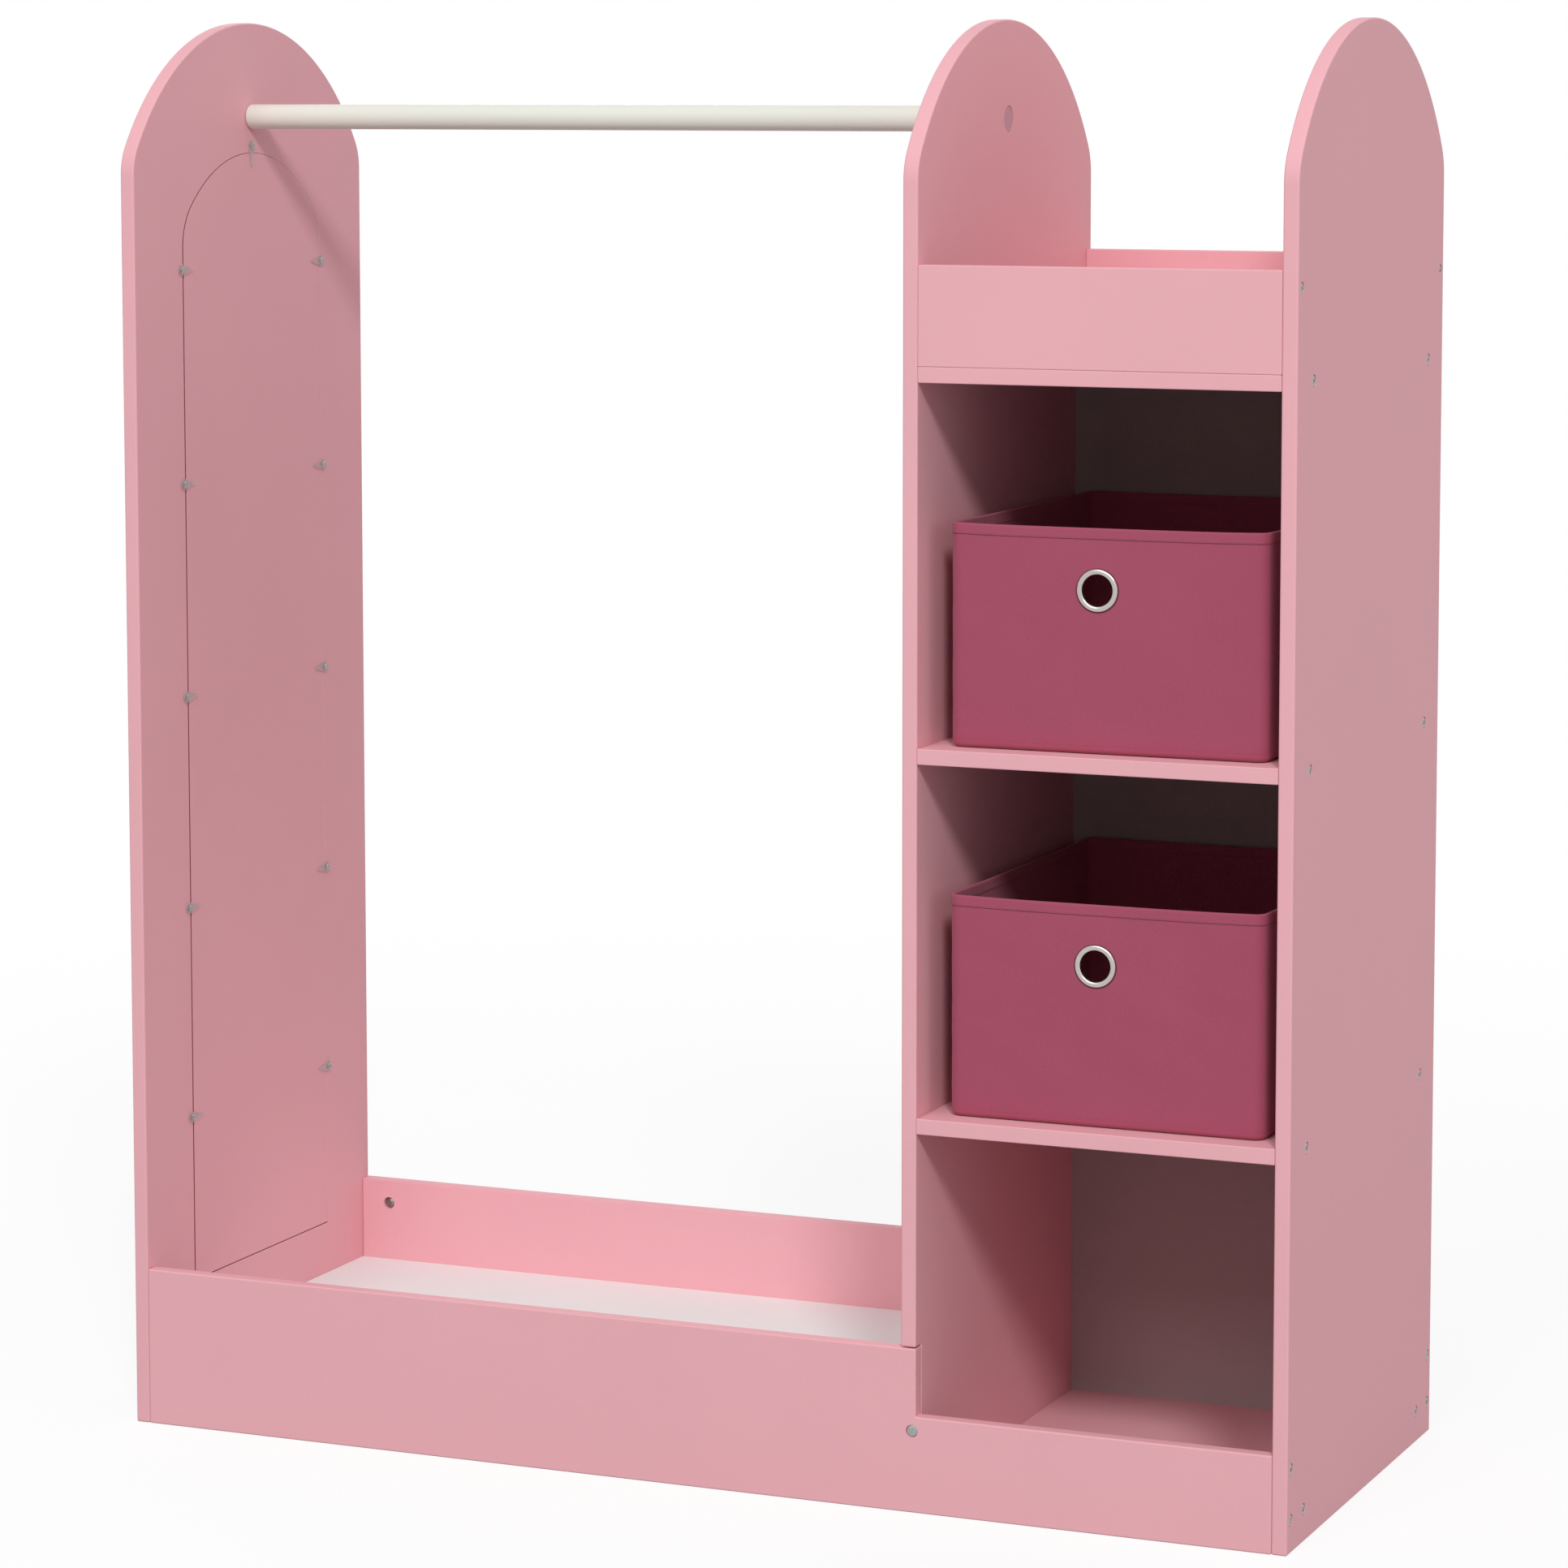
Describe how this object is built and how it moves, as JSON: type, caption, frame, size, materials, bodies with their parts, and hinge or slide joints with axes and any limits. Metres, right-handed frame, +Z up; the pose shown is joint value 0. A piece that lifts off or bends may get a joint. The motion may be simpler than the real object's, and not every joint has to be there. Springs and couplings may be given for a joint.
{
  "type": "dress up storage unit with mirror",
  "caption": "Child's dress-up storage unit: clothes rail over a floor tray, shelved cabinet with fabric boxes beside it, and an arched mirror in the outer face of the side panel.",
  "frame": {"origin": "on the floor, at the middle of the footprint", "axes": "+X towards the cabinet side, -Y towards the front, +Z up"},
  "size_m": [0.966, 0.38, 1.1215],
  "materials": {
    "pink_paint": "satin paint on board",
    "white_board": "smooth white board",
    "back_board": "thin unpainted board",
    "cream_paint": "satin paint on a round rod",
    "beech": "raw wood",
    "mirror": "polished",
    "clip_plastic": "clear grey, smooth",
    "mauve_plastic": "matte",
    "zinc_steel": "zinc plated",
    "ring_metal": "satin",
    "box_fabric": "felted, with stitched seams",
    "box_card": "matte"
  },
  "bodies": {
    "unit_frame": {"left_side_panel": "pink_paint", "mirror_glass": "mirror", "mirror_backing": "pink_paint", "mirror_clip_screws": "zinc_steel", "middle_panel": "pink_paint", "right_side_panel": "pink_paint", "front_base_board": "pink_paint", "rear_base_board": "pink_paint", "tray_floor": "white_board", "cabinet_floor": "pink_paint", "floor_cleat": "pink_paint", "lower_shelf": "pink_paint", "upper_shelf": "pink_paint", "top_shelf": "pink_paint", "top_front_lip": "pink_paint", "top_rear_rail": "pink_paint", "lower_back_panel": "back_board", "middle_back_panel": "back_board", "upper_back_panel": "back_board", "hanging_rod": "cream_paint", "rod_end_cap": "mauve_plastic", "rod_screw": "zinc_steel", "right_panel_screws": "zinc_steel", "middle_panel_screws": "zinc_steel", "base_board_screws": "zinc_steel", "cleat_screws": "zinc_steel", "panel_bolts": "zinc_steel", "barrel_nuts": "zinc_steel", "top_tray_dowels": "beech", "tray_floor_dowels": "beech"},
    "upper_box": {"upper_box_fabric": "box_fabric", "upper_box_base": "box_card", "upper_box_ring": "ring_metal"},
    "lower_box": {"lower_box_fabric": "box_fabric", "lower_box_base": "box_card", "lower_box_ring": "ring_metal"},
    "mirror_clip_front_1_body": {"mirror_clip_front_1": "clip_plastic"},
    "mirror_clip_front_2_body": {"mirror_clip_front_2": "clip_plastic"},
    "mirror_clip_front_3_body": {"mirror_clip_front_3": "clip_plastic"},
    "mirror_clip_front_4_body": {"mirror_clip_front_4": "clip_plastic"},
    "mirror_clip_front_5_body": {"mirror_clip_front_5": "clip_plastic"},
    "mirror_clip_rear_1_body": {"mirror_clip_rear_1": "clip_plastic"},
    "mirror_clip_rear_2_body": {"mirror_clip_rear_2": "clip_plastic"},
    "mirror_clip_rear_3_body": {"mirror_clip_rear_3": "clip_plastic"},
    "mirror_clip_rear_4_body": {"mirror_clip_rear_4": "clip_plastic"},
    "mirror_clip_rear_5_body": {"mirror_clip_rear_5": "clip_plastic"},
    "mirror_clip_top_body": {"mirror_clip_top": "clip_plastic"}
  },
  "joints": [
    {"name": "upper_box_pull", "type": "slide", "parent": "unit_frame", "child": "upper_box", "axis": [0, -1, 0], "range_m": [-0.013, 0.17]},
    {"name": "lower_box_pull", "type": "slide", "parent": "unit_frame", "child": "lower_box", "axis": [0, -1, 0], "range_m": [-0.013, 0.17]},
    {"name": "mirror_clip_front_1_turn", "type": "hinge", "parent": "unit_frame", "child": "mirror_clip_front_1_body", "pos_m": [-0.471, -0.1175, 0.236], "axis": [1, 0, 0], "range_deg": [-180, 180]},
    {"name": "mirror_clip_rear_1_turn", "type": "hinge", "parent": "unit_frame", "child": "mirror_clip_rear_1_body", "pos_m": [-0.471, 0.1175, 0.236], "axis": [1, 0, 0], "range_deg": [-180, 180]},
    {"name": "mirror_clip_front_2_turn", "type": "hinge", "parent": "unit_frame", "child": "mirror_clip_front_2_body", "pos_m": [-0.471, -0.1175, 0.40801], "axis": [1, 0, 0], "range_deg": [-180, 180]},
    {"name": "mirror_clip_rear_2_turn", "type": "hinge", "parent": "unit_frame", "child": "mirror_clip_rear_2_body", "pos_m": [-0.471, 0.1175, 0.40801], "axis": [1, 0, 0], "range_deg": [-180, 180]},
    {"name": "mirror_clip_front_3_turn", "type": "hinge", "parent": "unit_frame", "child": "mirror_clip_front_3_body", "pos_m": [-0.471, -0.1175, 0.58002], "axis": [1, 0, 0], "range_deg": [-180, 180]},
    {"name": "mirror_clip_rear_3_turn", "type": "hinge", "parent": "unit_frame", "child": "mirror_clip_rear_3_body", "pos_m": [-0.471, 0.1175, 0.58002], "axis": [1, 0, 0], "range_deg": [-180, 180]},
    {"name": "mirror_clip_front_4_turn", "type": "hinge", "parent": "unit_frame", "child": "mirror_clip_front_4_body", "pos_m": [-0.471, -0.1175, 0.75203], "axis": [1, 0, 0], "range_deg": [-180, 180]},
    {"name": "mirror_clip_rear_4_turn", "type": "hinge", "parent": "unit_frame", "child": "mirror_clip_rear_4_body", "pos_m": [-0.471, 0.1175, 0.75203], "axis": [1, 0, 0], "range_deg": [-180, 180]},
    {"name": "mirror_clip_front_5_turn", "type": "hinge", "parent": "unit_frame", "child": "mirror_clip_front_5_body", "pos_m": [-0.471, -0.1175, 0.92404], "axis": [1, 0, 0], "range_deg": [-180, 180]},
    {"name": "mirror_clip_rear_5_turn", "type": "hinge", "parent": "unit_frame", "child": "mirror_clip_rear_5_body", "pos_m": [-0.471, 0.1175, 0.92404], "axis": [1, 0, 0], "range_deg": [-180, 180]},
    {"name": "mirror_clip_top_turn", "type": "hinge", "parent": "unit_frame", "child": "mirror_clip_top_body", "pos_m": [-0.471, 0, 1.022], "axis": [1, 0, 0], "range_deg": [-150, 150]}
  ]
}
